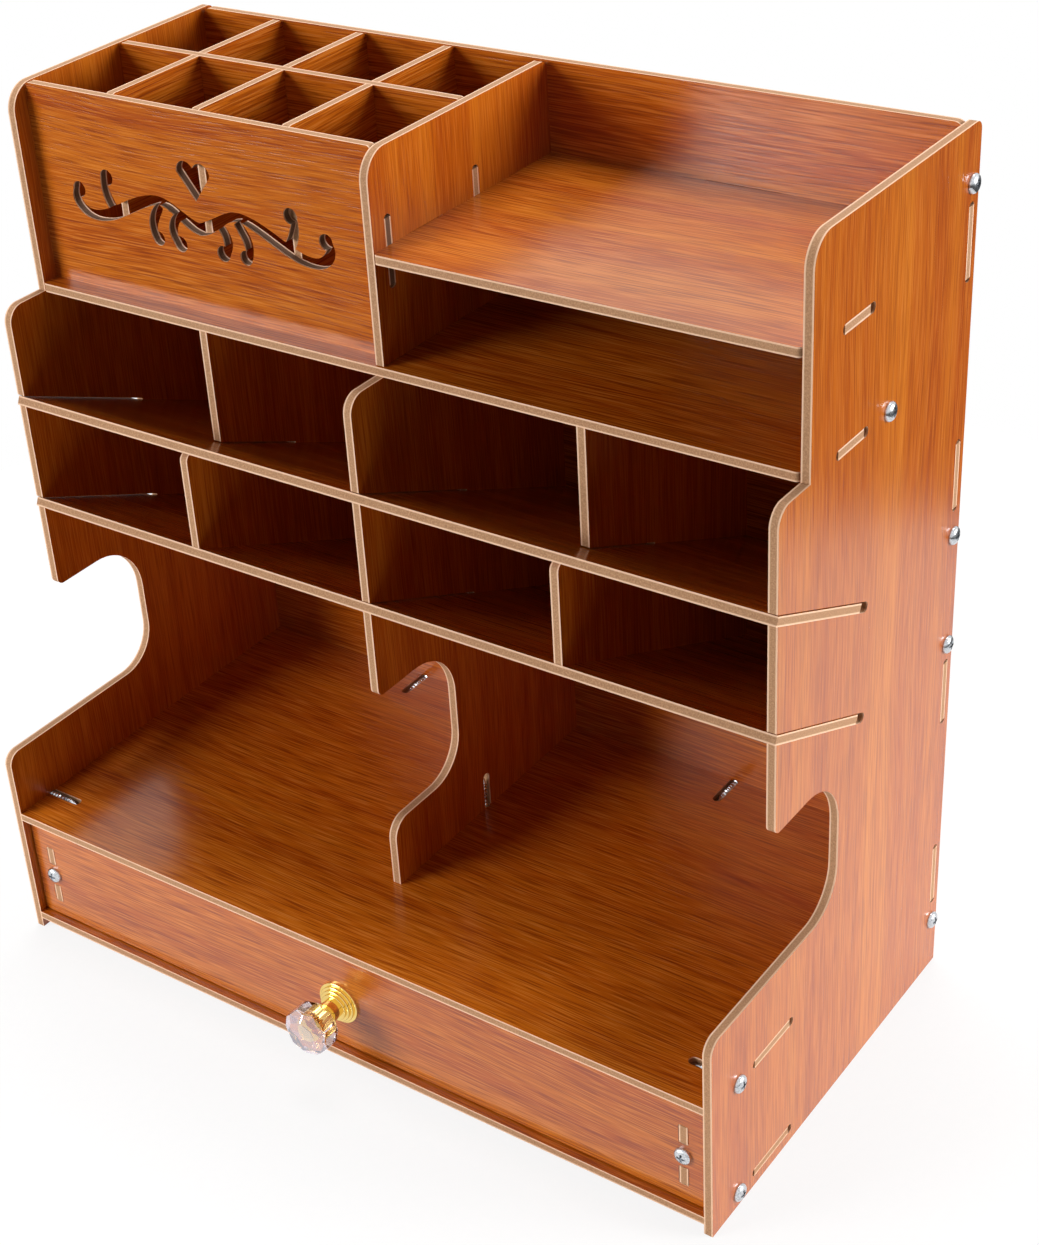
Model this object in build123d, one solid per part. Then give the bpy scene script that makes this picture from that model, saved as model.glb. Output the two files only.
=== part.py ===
from build123d import *
import math
import os

os.makedirs("parts", exist_ok=True)

# Desk organizer of thin boards. All sizes are in mm.
# While the pieces are made, X = 0 is the middle, Y = 0 the front edge of the
# side panels and Z = 0 the desk. The whole part is moved back to its own
# middle when the files are written.

# Overall size and stock
WIDTH = 285.0
DEPTH = 151.0
HEIGHT = 300.0
BOARD = 3.0

# Play between what is cut out and what fits in it
TAB_PLAY = 0.2
SHELF_PLAY = 0.4
RUN_PLAY = 0.3
SCREW_PLAY = 0.5
DRAWER_SLOT_PLAY = 0.6

# Side panel outline
SHOULDER_Z = 76.0
SHOULDER_R = 5.0
BAY_TOP_Z = 127.0
BAY_DEPTH = 75.6
BAY_LOW_R = 15.0
BAY_TOP_R = 20.0
TONGUE_Y = 36.4
TONGUE_TIP_R = 2.5
STEP_R = 6.0
UPPER_Y = 53.6
TOP_FRONT_R = 9.0
TOP_BACK_R = 3.0

# Level boards. The lower two are set by their undersides, the upper two by
# how far their undersides lie below the top
BOTTOM_Z = 3.8
DECK_Z = 48.2
UPPER_DROP = 68.7
TRAY_DROP = 32.8
LOW_FRONT_Y = 0.0
UPPER_FRONT_Y = 53.0
BOARD_CORNER_R = 1.5

# Back panel, set in from the rear edge of the side panels
BACK_MARGIN = 5.5
BACK_CORNER_R = 3.0

# Sloping shelves, by the lower corner of their front edge. The middle one
# stands a little above halfway between the lower one and the upper shelf
SLOPE = 24.0
SHELF_FRONT_Y = 35.6
LOWER_SHELF_Z = 158.5
MIDDLE_SHELF_LIFT = 1.9
EAR_LENGTH = 54.0
SHELF_SLOT_LENGTH = 58.6

# Centre panel and the dividers of the sloping rows
FOOT_Y = 38.0
FOOT_R = 7.0
ROW_RECESS = 0.6
ROW_FRONT_R = 2.5

# Pen box
PEN_FRONT_Y = 59.6
PEN_REAR_CELL = 39.0
PEN_CELLS = 4
PEN_CORNER_R = 1.5

# Slots in the side panels and the tabs in them, each from where it starts
SIDE_SLOT_Y = 24.2
SIDE_SLOT = 24.6
SIDE_TAB = 21.2
UPPER_SLOT_Y = 67.9
UPPER_TAB = 14.9
TRAY_SLOT_Y = 69.9
TRAY_TAB = 14.5
LONG_SLOT = 18.6
PEN_TAB_DROP = 42.0
PEN_TAB = 20.6

# Tabs at the back, upright ones by their lower ends from the desk or the top
LOW_BACK_TAB_Z = (28.2, 101.5)
HIGH_BACK_TAB_DROP = (120.7, 46.1)
BACK_TAB = 22.0
REAR_TAB = 26.0
CENTRE_TAB_Z = 101.5
CENTRE_TAB_DROP = 42.5
ROW_REAR_TAB = 16.0
DECK_FRONT_TAB_Y = 50.0
DECK_REAR_TAB = 33.5
DECK_TAB = 18.0

# Fasteners
SCREW_D = 2.9
SCREW_LENGTH = 15.0
SCREW_TIP = 1.6
THREAD_PITCH = 1.3
THREAD_DEEP = 0.3
HEAD_D = 6.0
HEAD_H = 1.8
HEAD_RIM = 0.7
RECESS_W = 0.9
RECESS_L = 3.4
RECESS_DEEP = 1.1
SCREW_SLOT = 13.9
LOW_BACK_SCREW_Z = (19.6, 130.4)
HIGH_BACK_SCREW_DROP = (130.3, 17.5)
UPPER_SCREW_Y = 99.2
LOW_SCREW_Y = 15.8
REAR_SCREW_FROM_SIDE = 75.0
FOOT_SCREW_Y = 89.0

# Drawer
DRAWER_FRONT_Y = 2.9
DRAWER_GAP = 0.6
DRAWER_SIDE_GAP = 7.0
DRAWER_TOP_DROP = 4.5
DRAWER_FLOOR_RISE = 3.0
DRAWER_REAR_ROOM = 5.5
DRAWER_TAB = 6.8
DRAWER_TAB_FROM_MIDDLE = 5.0
DRAWER_SLOT_R = 0.8
FLOOR_FRONT_TAB_Y = 30.0
FLOOR_REAR_TAB = 45.0
FLOOR_TAB = 20.0

# Knob, lengths counted outward from the drawer front
FLANGE_STEPS = ((7.8, 1.0), (6.8, 0.9), (5.9, 0.9), (4.9, 0.8))
FLANGE_FILLET = 0.6
NECK_R = 3.6
NECK_END_R = 4.4
NECK_END = 1.6
NECK_LENGTH = 8.6
CRYSTAL_LENGTH = 11.5
CRYSTAL_R = 8.1
CRYSTAL_SIDES = 8
CRYSTAL_BACK_R = 4.8
CRYSTAL_TABLE_R = 5.3
CRYSTAL_BACK_TURN = 47.0
CRYSTAL_FRONT_TURN = 52.0
INSERT_R = 3.4
INSERT_LENGTH = 6.5
INSERT_END = 1.2
KNOB_SCREW_D = 4.0
KNOB_HEAD_D = 8.0
KNOB_HEAD_H = 2.4
KNOB_THREAD = 13.0

# Cut-out in the pen box front. Its middle lies ORNAMENT_DROP below the top and
# ORNAMENT_SHIFT left of the board's middle. Points are counted from there, sideways
# and up, with half the width of the stroke as the third value
ORNAMENT_DROP = 37.5
ORNAMENT_SHIFT = 1.2
HEART_NOTCH = 19.8
HEART_TIP = 9.1
HEART_R = 3.6
HEART_LOBE_X = 3.15
HEART_TOP_TURN = 11.5
VINE = (
    (0.0, 0.0, 2.0),
    (7.5, 3.3, 1.8),
    (15.5, 6.7, 1.5),
    (21.0, 5.8, 1.8),
    (30.0, 2.0, 2.1),
    (38.5, -1.7, 2.0),
    (44.0, -2.8, 1.8),
    (49.0, -1.8, 1.8),
    (51.8, 1.3, 1.8),
    (52.3, 4.9, 0.7),
)
VINE_CURL = (50.4, 4.9, 2.6)
BRANCH = ((35.8, 0.6, 1.9), (38.0, 4.4, 1.9), (38.9, 8.0, 1.5), (39.3, 10.9, 0.8))
BRANCH_CURL = (37.5, 10.8, 2.6)
OUTER_LEAF = ((15.5, 5.0, 1.3), (18.3, 1.5, 1.9), (19.6, -1.9, 1.8), (19.6, -4.6, 1.5), (19.4, -6.6, 1.0))
OUTER_LEAF_CURL = (18.0, -6.1, 2.4)
INNER_LEAF = ((8.5, 2.7, 1.5), (10.7, -0.1, 1.8), (11.3, -2.7, 1.8), (10.9, -5.0, 1.4), (10.3, -6.9, 1.0))
INNER_LEAF_CURL = (8.8, -6.4, 2.6)

# How far a cutter runs past the faces that it cuts
PAST = 1.0
PAST_FRONT = 6.0

# Sizes that follow from the ones above
HALF = WIDTH / 2
INSIDE = HALF - BOARD
UPPER_Z = HEIGHT - UPPER_DROP
TRAY_Z = HEIGHT - TRAY_DROP
MIDDLE_SHELF_Z = (LOWER_SHELF_Z + UPPER_Z) / 2 + MIDDLE_SHELF_LIFT
BACK_Y = DEPTH - BACK_MARGIN
BACK_REAR_FACE = BACK_Y + BOARD
PEN_LONG_Y = BACK_Y - PEN_REAR_CELL - BOARD
PEN_TAB_Z = HEIGHT - PEN_TAB_DROP
BACK_TAB_Z = LOW_BACK_TAB_Z + tuple(HEIGHT - drop for drop in HIGH_BACK_TAB_DROP)
BACK_SCREW_Z = LOW_BACK_SCREW_Z + tuple(HEIGHT - drop for drop in HIGH_BACK_SCREW_DROP)
CENTRE_REAR_TAB_Z = (CENTRE_TAB_Z, HEIGHT - CENTRE_TAB_DROP)
DECK_TAB_Y = (DECK_FRONT_TAB_Y, BACK_Y - DECK_REAR_TAB)
REAR_SCREW_X = HALF - REAR_SCREW_FROM_SIDE
KNOB_REACH = NECK_LENGTH + CRYSTAL_LENGTH - DRAWER_FRONT_Y
FRONT_Y = (KNOB_REACH - DEPTH) / 2
PEN_INSIDE = INSIDE - BOARD / 2
PEN_CELL = (PEN_INSIDE - (PEN_CELLS - 1) * BOARD) / PEN_CELLS
ROW_X = BOARD / 2 + PEN_INSIDE / 2
DRAWER_SIDE_X = INSIDE - DRAWER_SIDE_GAP - BOARD
DRAWER_LOW_Z = BOTTOM_Z + BOARD + RUN_PLAY
DRAWER_TOP_Z = DECK_Z - DRAWER_TOP_DROP
DRAWER_MIDDLE_Z = (DRAWER_LOW_Z + DRAWER_TOP_Z) / 2
DRAWER_FLOOR_Z = DRAWER_LOW_Z + DRAWER_FLOOR_RISE
DRAWER_BACK_Y = BACK_Y - DRAWER_REAR_ROOM
FLOOR_TAB_Y = (FLOOR_FRONT_TAB_Y, DRAWER_BACK_Y - FLOOR_REAR_TAB)
ORNAMENT_Z = HEIGHT - ORNAMENT_DROP
SLOPE_COS = math.cos(math.radians(SLOPE))
SLOPE_SIN = math.sin(math.radians(SLOPE))
SHELF_LENGTH = (BACK_Y - RUN_PLAY - SHELF_FRONT_Y - BOARD * SLOPE_SIN) / SLOPE_COS

# A square tab reaches this near to the round end of its slot
SLOT_R = (BOARD + TAB_PLAY) / 2
END_ROOM = SLOT_R - math.sqrt(SLOT_R**2 - (BOARD / 2) ** 2) + TAB_PLAY / 2
SIDE_TAB_Y = SIDE_SLOT_Y + END_ROOM
UPPER_TAB_Y = UPPER_SLOT_Y + END_ROOM
TRAY_TAB_Y = TRAY_SLOT_Y + END_ROOM


def outline(corners):
    """Closed face through corners given as (u, v, radius)."""
    count = len(corners)
    starts = []
    ends = []
    middles = []
    for i in range(count):
        u, v, radius = corners[i]
        before = Vector(*corners[i - 1][:2]) - Vector(u, v)
        after = Vector(*corners[(i + 1) % count][:2]) - Vector(u, v)
        a = before.normalized()
        b = after.normalized()
        if radius == 0:
            starts.append(Vector(u, v))
            ends.append(Vector(u, v))
            middles.append(None)
            continue
        half = math.radians(a.get_angle(b)) / 2
        reach = radius / math.tan(half)
        toward = (a + b).normalized()
        starts.append(Vector(u, v) + a * reach)
        ends.append(Vector(u, v) + b * reach)
        middles.append(Vector(u, v) + toward * (radius / math.sin(half) - radius))
    edges = []
    for i in range(count):
        if middles[i] is not None:
            edges.append(ThreePointArc(starts[i], middles[i], ends[i]))
        following = starts[(i + 1) % count]
        if (following - ends[i]).length > 1e-6:
            edges.append(Line(ends[i], following))
    return make_face(edges)


def side_board(face, x):
    """Board standing front to back. The face is drawn in Y and Z."""
    return extrude(Plane.YZ.offset(x) * face, BOARD)


def front_board(face, y):
    """Board standing left to right. The face is drawn in X and Z."""
    return extrude(Plane.XZ.offset(-y) * face, -BOARD)


def flat_board(face, z):
    """Level board. The face is drawn in X and Y."""
    return extrude(Plane.XY.offset(z) * face, BOARD)


def box(x, y, z):
    """Box from three (low, high) pairs."""
    size = (x[1] - x[0], y[1] - y[0], z[1] - z[0])
    middle = ((x[0] + x[1]) / 2, (y[0] + y[1]) / 2, (z[0] + z[1]) / 2)
    return Pos(*middle) * Box(*size)


def on_slope(shape, z):
    """Sets a shape drawn level at the front of a sloping shelf."""
    return Pos(0, SHELF_FRONT_Y, z) * Rot(-SLOPE, 0, 0) * shape


def slot(u, v, radius):
    """Face of a slot between two (low, high) pairs, with round corners."""
    corners = (
        (u[0], v[0], radius),
        (u[0], v[1], radius),
        (u[1], v[1], radius),
        (u[1], v[0], radius),
    )
    return outline(corners)


def around(low, length, room):
    """(low, high) pair of a slot that leaves room at both ends of a tab."""
    return (low - room, low + length + room)


def side_slot(x, y, z):
    """Slot with round ends through a side board, from the X of its low face."""
    radius = min(y[1] - y[0], z[1] - z[0]) / 2
    return extrude(Plane.YZ.offset(x - PAST) * slot(y, z, radius), BOARD + 2 * PAST)


def back_slot(x, z):
    """Slot with round ends through the back panel."""
    radius = min(x[1] - x[0], z[1] - z[0]) / 2
    return extrude(Plane.XZ.offset(PAST - BACK_Y) * slot(x, z, radius), -BOARD - 2 * PAST)


def slope_slot(x, z):
    """Room for a sloping shelf in a side board, open at the front and round at the rear."""
    high = BOARD + SHELF_PLAY
    round_y = SHELF_SLOT_LENGTH - high / 2
    wide = (x - PAST, x + BOARD + PAST)
    straight = box(wide, (-PAST_FRONT, round_y), (0, high))
    middle = x + BOARD / 2
    end = Pos(middle, round_y, high / 2) * Rot(0, 90, 0) * Cylinder(high / 2, BOARD + 2 * PAST)
    return on_slope(straight + end, z)


def screw_slot(at, inward, through):
    """Straight slot with a round end, cut into a board's edge for a screw."""
    place = Plane(origin=at, x_dir=inward, z_dir=through)
    deep = BOARD + 2 * PAST
    wide = SCREW_D + SCREW_PLAY
    length = SCREW_SLOT - wide / 2
    straight = Pos((length - PAST) / 2, 0, 0) * Box(length + PAST, wide, deep)
    end = Pos(length, 0, 0) * Cylinder(wide / 2, deep)
    return place * (straight + end)


def hole(at, along):
    """Clearance hole through one board, starting at its outer face."""
    radius = (SCREW_D + SCREW_PLAY) / 2
    cutter = Pos(0, 0, BOARD / 2) * Cylinder(radius, BOARD + 2 * PAST)
    return Plane(origin=at, z_dir=along) * cutter


def shank(diameter, length):
    """Threaded shank with its thread as rings and a blunt cone at its end."""
    crest = diameter / 2
    root = crest - THREAD_DEEP
    turns = int((length - SCREW_TIP) / THREAD_PITCH)
    line = [(0, 0), (root, 0)]
    for k in range(turns):
        line.append((crest, (k + 0.5) * THREAD_PITCH))
        line.append((root, (k + 1) * THREAD_PITCH))
    line.append((root, length - SCREW_TIP))
    line.append((root / 3, length))
    line.append((0, length))
    return revolve(Plane.XZ * make_face(Polyline(*line, close=True)), Axis.Z)


def screw(at, into, shank_d, length, head_d, head_h):
    """Pan head screw whose head rests at a point on the outer face."""
    rim = head_d / 2
    head = make_face(
        [
            Line((0, 0), (rim, 0)),
            Line((rim, 0), (rim, -HEAD_RIM)),
            ThreePointArc((rim, -HEAD_RIM), (rim * 0.72, -head_h * 0.8), (0, -head_h)),
            Line((0, -head_h), (0, 0)),
        ]
    )
    body = revolve(Plane.XZ * head, Axis.Z)
    body += shank(shank_d, length)
    scale_up = head_d / HEAD_D
    deep = Pos(0, 0, -head_h + (RECESS_DEEP - PAST) / 2)
    arm = (RECESS_L * scale_up, RECESS_W * scale_up, RECESS_DEEP + PAST)
    body -= deep * Box(*arm)
    body -= deep * Box(arm[1], arm[0], arm[2])
    return Plane(origin=at, z_dir=into) * body


def stroke(stations):
    """Ribbon of changing width along a curve."""
    left = []
    right = []
    for i in range(len(stations)):
        u, v, half = stations[i]
        before = stations[max(i - 1, 0)]
        after = stations[min(i + 1, len(stations) - 1)]
        along = Vector(after[0] - before[0], after[1] - before[1]).normalized()
        left.append(Vector(u - along.Y * half, v + along.X * half))
        right.append(Vector(u + along.Y * half, v - along.X * half))
    edges = [Spline(left), Line(left[-1], right[-1]), Spline(right), Line(right[0], left[0])]
    return make_face(edges)


def curl(place):
    """Round end of a stroke."""
    return Pos(place[0], place[1]) * Circle(place[2])


def side_outline():
    corners = (
        (0, 0, 0),
        (0, SHOULDER_Z, SHOULDER_R),
        (BAY_DEPTH, SHOULDER_Z, BAY_LOW_R),
        (BAY_DEPTH, BAY_TOP_Z, BAY_TOP_R),
        (TONGUE_Y, BAY_TOP_Z, TONGUE_TIP_R),
        (TONGUE_Y, UPPER_Z, STEP_R),
        (UPPER_Y, UPPER_Z, 0),
        (UPPER_Y, HEIGHT, TOP_FRONT_R),
        (DEPTH, HEIGHT, TOP_BACK_R),
        (DEPTH, 0, 0),
    )
    return outline(corners)


def side_panel(x):
    """One side panel, from the X of its low face, with all its slots and holes."""
    play = TAB_PLAY / 2
    panel = side_board(side_outline(), x)
    panel -= slope_slot(x, LOWER_SHELF_Z)
    panel -= slope_slot(x, MIDDLE_SHELF_Z)
    low_slot = (SIDE_SLOT_Y, SIDE_SLOT_Y + SIDE_SLOT)
    panel -= side_slot(x, low_slot, around(BOTTOM_Z, BOARD, play))
    panel -= side_slot(x, low_slot, around(DECK_Z, BOARD, play))
    upper_slot = (UPPER_SLOT_Y, UPPER_SLOT_Y + LONG_SLOT)
    panel -= side_slot(x, upper_slot, around(UPPER_Z, BOARD, play))
    for z in BACK_TAB_Z:
        panel -= side_slot(x, around(BACK_Y, BOARD, play), around(z, BACK_TAB, END_ROOM))
    for z in BACK_SCREW_Z:
        panel -= hole((x, BACK_Y + BOARD / 2, z), (1, 0, 0))
    panel -= hole((x, UPPER_SCREW_Y, UPPER_Z + BOARD / 2), (1, 0, 0))
    panel -= hole((x, LOW_SCREW_Y, DECK_Z + BOARD / 2), (1, 0, 0))
    panel -= hole((x, LOW_SCREW_Y, BOTTOM_Z + BOARD / 2), (1, 0, 0))
    return panel


def tray_slot(x):
    y = (TRAY_SLOT_Y, TRAY_SLOT_Y + LONG_SLOT)
    return side_slot(x, y, around(TRAY_Z, BOARD, TAB_PLAY / 2))


def pen_slots(x):
    """Upright slots that take the tabs of the pen box front and its long divider."""
    z = around(PEN_TAB_Z, PEN_TAB, END_ROOM)
    front = side_slot(x, around(PEN_FRONT_Y, BOARD, TAB_PLAY / 2), z)
    long = side_slot(x, around(PEN_LONG_Y, BOARD, TAB_PLAY / 2), z)
    return front + long


# Side panels
left_side_panel = side_panel(-HALF)
left_side_panel -= pen_slots(-HALF)
right_side_panel = side_panel(INSIDE)
right_side_panel -= tray_slot(INSIDE)

# Centre panel, standing on the deck
centre_corners = (
    (FOOT_Y, DECK_Z + BOARD, 0),
    (FOOT_Y, SHOULDER_Z, FOOT_R),
    (BAY_DEPTH, SHOULDER_Z, BAY_LOW_R),
    (BAY_DEPTH, BAY_TOP_Z, BAY_TOP_R),
    (TONGUE_Y, BAY_TOP_Z, TONGUE_TIP_R),
    (TONGUE_Y, UPPER_Z, STEP_R),
    (UPPER_Y, UPPER_Z, 0),
    (UPPER_Y, HEIGHT, TOP_FRONT_R),
    (BACK_Y, HEIGHT, TOP_BACK_R),
    (BACK_Y, DECK_Z + BOARD, 0),
)
centre_x = (-BOARD / 2, BOARD / 2)
centre_through = (-BOARD, BOARD)
halving_y = (UPPER_FRONT_Y + BACK_Y) / 2
play = TAB_PLAY / 2
centre_panel = side_board(outline(centre_corners), -BOARD / 2)
for y in DECK_TAB_Y:
    centre_panel += box(centre_x, (y, y + DECK_TAB), (DECK_Z, DECK_Z + BOARD))
for z in CENTRE_REAR_TAB_Z:
    centre_panel += box(centre_x, (BACK_Y, BACK_Y + BOARD), (z, z + BACK_TAB))
centre_panel -= slope_slot(-BOARD / 2, LOWER_SHELF_Z)
centre_panel -= slope_slot(-BOARD / 2, MIDDLE_SHELF_Z)
upper_gap = (UPPER_Z, UPPER_Z + BOARD + TAB_PLAY)
centre_panel -= box(centre_through, (UPPER_FRONT_Y - PAST, halving_y), upper_gap)
centre_panel -= tray_slot(-BOARD / 2)
centre_panel -= pen_slots(-BOARD / 2)
centre_panel -= screw_slot((0, FOOT_SCREW_Y, DECK_Z + BOARD), (0, 0, 1), (1, 0, 0))

# Deck and bottom board, with tabs at the sides and screw slots at the sides and back


def low_board(z):
    corners = (
        (-INSIDE, LOW_FRONT_Y, 0),
        (INSIDE, LOW_FRONT_Y, 0),
        (INSIDE, BACK_Y, 0),
        (-INSIDE, BACK_Y, 0),
    )
    board = flat_board(outline(corners), z)
    tab_y = (SIDE_TAB_Y, SIDE_TAB_Y + SIDE_TAB)
    board += box((-HALF, -INSIDE), tab_y, (z, z + BOARD))
    board += box((INSIDE, HALF), tab_y, (z, z + BOARD))
    middle = z + BOARD / 2
    board -= screw_slot((-INSIDE, LOW_SCREW_Y, middle), (1, 0, 0), (0, 0, 1))
    board -= screw_slot((INSIDE, LOW_SCREW_Y, middle), (-1, 0, 0), (0, 0, 1))
    for x in (-REAR_SCREW_X, REAR_SCREW_X):
        board -= screw_slot((x, BACK_Y, middle), (0, -1, 0), (0, 0, 1))
    return board


bottom_board = low_board(BOTTOM_Z)
deck_board = low_board(DECK_Z)
for y in DECK_TAB_Y:
    deck_slot = slot(around(-BOARD / 2, BOARD, play), around(y, DECK_TAB, END_ROOM), SLOT_R)
    deck_board -= extrude(Plane.XY.offset(DECK_Z - PAST) * deck_slot, BOARD + 2 * PAST)
deck_board -= hole((0, FOOT_SCREW_Y, DECK_Z), (0, 0, 1))

# Upper long shelf, floor of the pen box and of the open shelf
rear_tab_x = (-ROW_X, ROW_X)
upper_corners = (
    (-INSIDE, UPPER_FRONT_Y, BOARD_CORNER_R),
    (INSIDE, UPPER_FRONT_Y, BOARD_CORNER_R),
    (INSIDE, BACK_Y, 0),
    (-INSIDE, BACK_Y, 0),
)
upper_long_shelf = flat_board(outline(upper_corners), UPPER_Z)
upper_z = (UPPER_Z, UPPER_Z + BOARD)
upper_tab_y = (UPPER_TAB_Y, UPPER_TAB_Y + UPPER_TAB)
upper_long_shelf += box((-HALF, -INSIDE), upper_tab_y, upper_z)
upper_long_shelf += box((INSIDE, HALF), upper_tab_y, upper_z)
for x in rear_tab_x:
    upper_long_shelf += box((x - REAR_TAB / 2, x + REAR_TAB / 2), (BACK_Y, BACK_REAR_FACE), upper_z)
upper_middle = UPPER_Z + BOARD / 2
upper_long_shelf -= screw_slot((-INSIDE, UPPER_SCREW_Y, upper_middle), (1, 0, 0), (0, 0, 1))
upper_long_shelf -= screw_slot((INSIDE, UPPER_SCREW_Y, upper_middle), (-1, 0, 0), (0, 0, 1))
lap_x = (-BOARD / 2 - play, BOARD / 2 + play)
upper_long_shelf -= box(lap_x, (halving_y, BACK_Y + PAST), (UPPER_Z - PAST, UPPER_Z + BOARD + PAST))

# Tray board, between the centre panel and the right side panel
tray_corners = (
    (BOARD / 2, UPPER_FRONT_Y, BOARD_CORNER_R),
    (INSIDE, UPPER_FRONT_Y, BOARD_CORNER_R),
    (INSIDE, BACK_Y, 0),
    (BOARD / 2, BACK_Y, 0),
)
tray_board = flat_board(outline(tray_corners), TRAY_Z)
tray_z = (TRAY_Z, TRAY_Z + BOARD)
tray_tab_y = (TRAY_TAB_Y, TRAY_TAB_Y + TRAY_TAB)
tray_board += box((-BOARD / 2, BOARD / 2), tray_tab_y, tray_z)
tray_board += box((INSIDE, HALF), tray_tab_y, tray_z)
tray_tab_x = (ROW_X - REAR_TAB / 2, ROW_X + REAR_TAB / 2)
tray_board += box(tray_tab_x, (BACK_Y, BACK_REAR_FACE), tray_z)

# Sloping shelves with ears at the front. They slide in from the front


def sloping_shelf(lap_places):
    """Shelf drawn level, with its front edge at Y = 0 and its underside at Z = 0."""
    narrow = INSIDE - play
    corners = (
        (-HALF, 0, 0),
        (HALF, 0, 0),
        (HALF, EAR_LENGTH, 0),
        (narrow, EAR_LENGTH, 0),
        (narrow, SHELF_LENGTH, 0),
        (-narrow, SHELF_LENGTH, 0),
        (-narrow, EAR_LENGTH, 0),
        (-HALF, EAR_LENGTH, 0),
    )
    shelf = extrude(outline(corners), BOARD)
    for x in lap_places:
        gap = (x - BOARD / 2 - play, x + BOARD / 2 + play)
        shelf -= box(gap, (EAR_LENGTH, SHELF_LENGTH + PAST), (-PAST, BOARD + PAST))
    return shelf


lower_sloping_shelf = on_slope(sloping_shelf((0,)), LOWER_SHELF_Z)
middle_sloping_shelf = on_slope(sloping_shelf((-ROW_X, 0, ROW_X)), MIDDLE_SHELF_Z)


def slope_z(shelf_z, y):
    """Height of a sloping shelf's upper face at a given Y."""
    front_y = SHELF_FRONT_Y + BOARD * SLOPE_SIN
    front_z = shelf_z + BOARD * SLOPE_COS
    return front_z - (y - front_y) * math.tan(math.radians(SLOPE))


# Dividers of the two sloping rows, one board each, lapped with the middle shelf


row_tab_z = (slope_z(MIDDLE_SHELF_Z, BACK_Y) + UPPER_Z - ROW_REAR_TAB) / 2


def row_divider(x):
    lower_y = TONGUE_Y + ROW_RECESS
    rear_y = BACK_Y
    shelf_thick = BOARD / SLOPE_COS
    under_middle = slope_z(MIDDLE_SHELF_Z, lower_y) - shelf_thick
    slot_y = SHELF_FRONT_Y + SHELF_SLOT_LENGTH * SLOPE_COS
    floor_back = slope_z(LOWER_SHELF_Z, rear_y)
    slot_top = SHELF_PLAY / SLOPE_COS
    slot_low_z = slope_z(MIDDLE_SHELF_Z, slot_y) - shelf_thick
    slot_high_z = slope_z(MIDDLE_SHELF_Z, slot_y) + slot_top
    upper_low_z = slope_z(MIDDLE_SHELF_Z, UPPER_Y) + slot_top
    corners = (
        (lower_y, slope_z(LOWER_SHELF_Z, lower_y), 0),
        (lower_y, under_middle, ROW_FRONT_R),
        (slot_y, slot_low_z, 0),
        (slot_y, slot_high_z, 0),
        (UPPER_Y, upper_low_z, 0),
        (UPPER_Y, UPPER_Z, 0),
        (rear_y, UPPER_Z, 0),
        (rear_y, floor_back, 0),
    )
    divider = side_board(outline(corners), x - BOARD / 2)
    tab_z = (row_tab_z, row_tab_z + ROW_REAR_TAB)
    divider += box((x - BOARD / 2, x + BOARD / 2), (BACK_Y, BACK_REAR_FACE), tab_z)
    return divider


row_divider_left = row_divider(-ROW_X)
row_divider_right = row_divider(ROW_X)

# Pen box
pen_left = -INSIDE
pen_right = -BOARD / 2
pen_floor = UPPER_Z + BOARD
pen_half_z = (pen_floor + HEIGHT) / 2
pen_tab_z = (PEN_TAB_Z, PEN_TAB_Z + PEN_TAB)


def pen_board(y):
    """Long board of the pen box with a tab at each end."""
    corners = (
        (pen_left, pen_floor, 0),
        (pen_left, HEIGHT, PEN_CORNER_R),
        (pen_right, HEIGHT, PEN_CORNER_R),
        (pen_right, pen_floor, 0),
    )
    board = front_board(outline(corners), y)
    board += box((-HALF, pen_left), (y, y + BOARD), pen_tab_z)
    board += box((pen_right, BOARD / 2), (y, y + BOARD), pen_tab_z)
    return board


def heart():
    """Heart of two round lobes and a point."""
    lobe_z = HEART_NOTCH - math.sqrt(HEART_R**2 - HEART_LOBE_X**2)
    fall = lobe_z - HEART_TIP
    reach = math.hypot(HEART_LOBE_X, fall)
    turn = math.acos(HEART_R / reach) + math.atan2(HEART_LOBE_X, fall)
    side = (HEART_LOBE_X + HEART_R * math.sin(turn), lobe_z - HEART_R * math.cos(turn))
    top_turn = math.radians(HEART_TOP_TURN)
    top = (HEART_LOBE_X + HEART_R * math.sin(top_turn), lobe_z + HEART_R * math.cos(top_turn))
    notch = (0, HEART_NOTCH)
    tip = (0, HEART_TIP)
    right = [ThreePointArc(notch, top, side), Line(side, tip)]
    left = [Line(tip, (-side[0], side[1])), ThreePointArc((-side[0], side[1]), (-top[0], top[1]), notch)]
    return make_face(right + left)


half_scroll = stroke(VINE) + curl(VINE_CURL)
half_scroll += stroke(BRANCH) + curl(BRANCH_CURL)
half_scroll += stroke(OUTER_LEAF) + curl(OUTER_LEAF_CURL)
half_scroll += stroke(INNER_LEAF) + curl(INNER_LEAF_CURL)
half_scroll += curl(VINE[0])
scroll = half_scroll + mirror(half_scroll, Plane.YZ)
ornament_x = (pen_left + pen_right) / 2 - ORNAMENT_SHIFT
ornament_place = Pos(ornament_x, PEN_FRONT_Y + BOARD / 2, ORNAMENT_Z)
scroll_cutter = extrude(Plane.XZ * scroll, BOARD, both=True)
heart_cutter = extrude(Plane.XZ * heart(), BOARD, both=True)

pen_box_front = pen_board(PEN_FRONT_Y)
pen_box_front -= ornament_place * scroll_cutter
pen_box_front -= ornament_place * heart_cutter

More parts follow.
